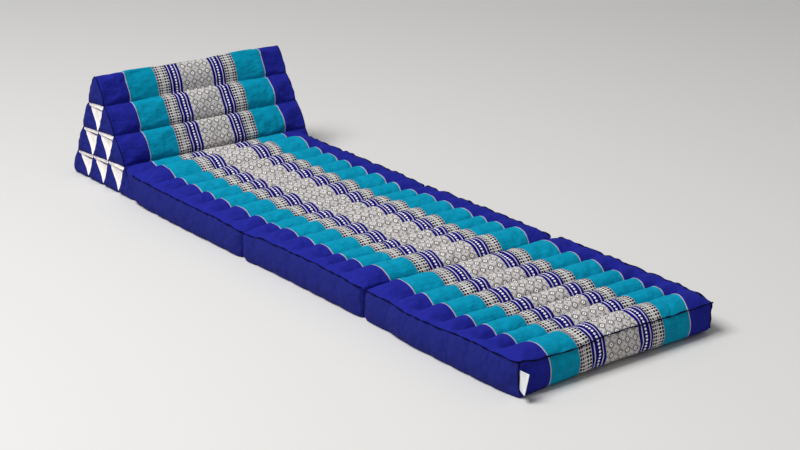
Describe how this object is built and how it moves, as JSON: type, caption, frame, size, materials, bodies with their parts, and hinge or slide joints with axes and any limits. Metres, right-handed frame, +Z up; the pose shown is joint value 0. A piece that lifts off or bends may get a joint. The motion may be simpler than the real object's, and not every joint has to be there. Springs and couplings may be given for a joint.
{
  "type": "thai triangle cushion with fold-out mats",
  "caption": "Thai triangle cushion: a stuffed triangular back rest with a row of channelled fold-out mats laid flat for lounging.",
  "frame": {"origin": "middle of the footprint of the laid-out cushion, on the floor", "axes": "+X along the mats from the back rest to the free end, +Y across the mats, +Z up"},
  "size_m": [1.7634, 0.5656, 0.272],
  "materials": {
    "blue_cloth": "matt plain-woven cotton, with woven bands across its middle",
    "gusset_cotton": "matt undyed cotton",
    "label_tape": "smooth white tape"
  },
  "bodies": {
    "root": {"triangle_back_rest": "blue_cloth", "mat_1": "blue_cloth", "mat_2": "blue_cloth", "mat_3": "blue_cloth", "gusset_near_1": "gusset_cotton", "gusset_near_2": "gusset_cotton", "gusset_near_3": "gusset_cotton", "gusset_near_4": "gusset_cotton", "gusset_near_5": "gusset_cotton", "gusset_near_6": "gusset_cotton", "gusset_far_1": "gusset_cotton", "gusset_far_2": "gusset_cotton", "gusset_far_3": "gusset_cotton", "gusset_far_4": "gusset_cotton", "gusset_far_5": "gusset_cotton", "gusset_far_6": "gusset_cotton", "label": "label_tape"}
  },
  "joints": []
}
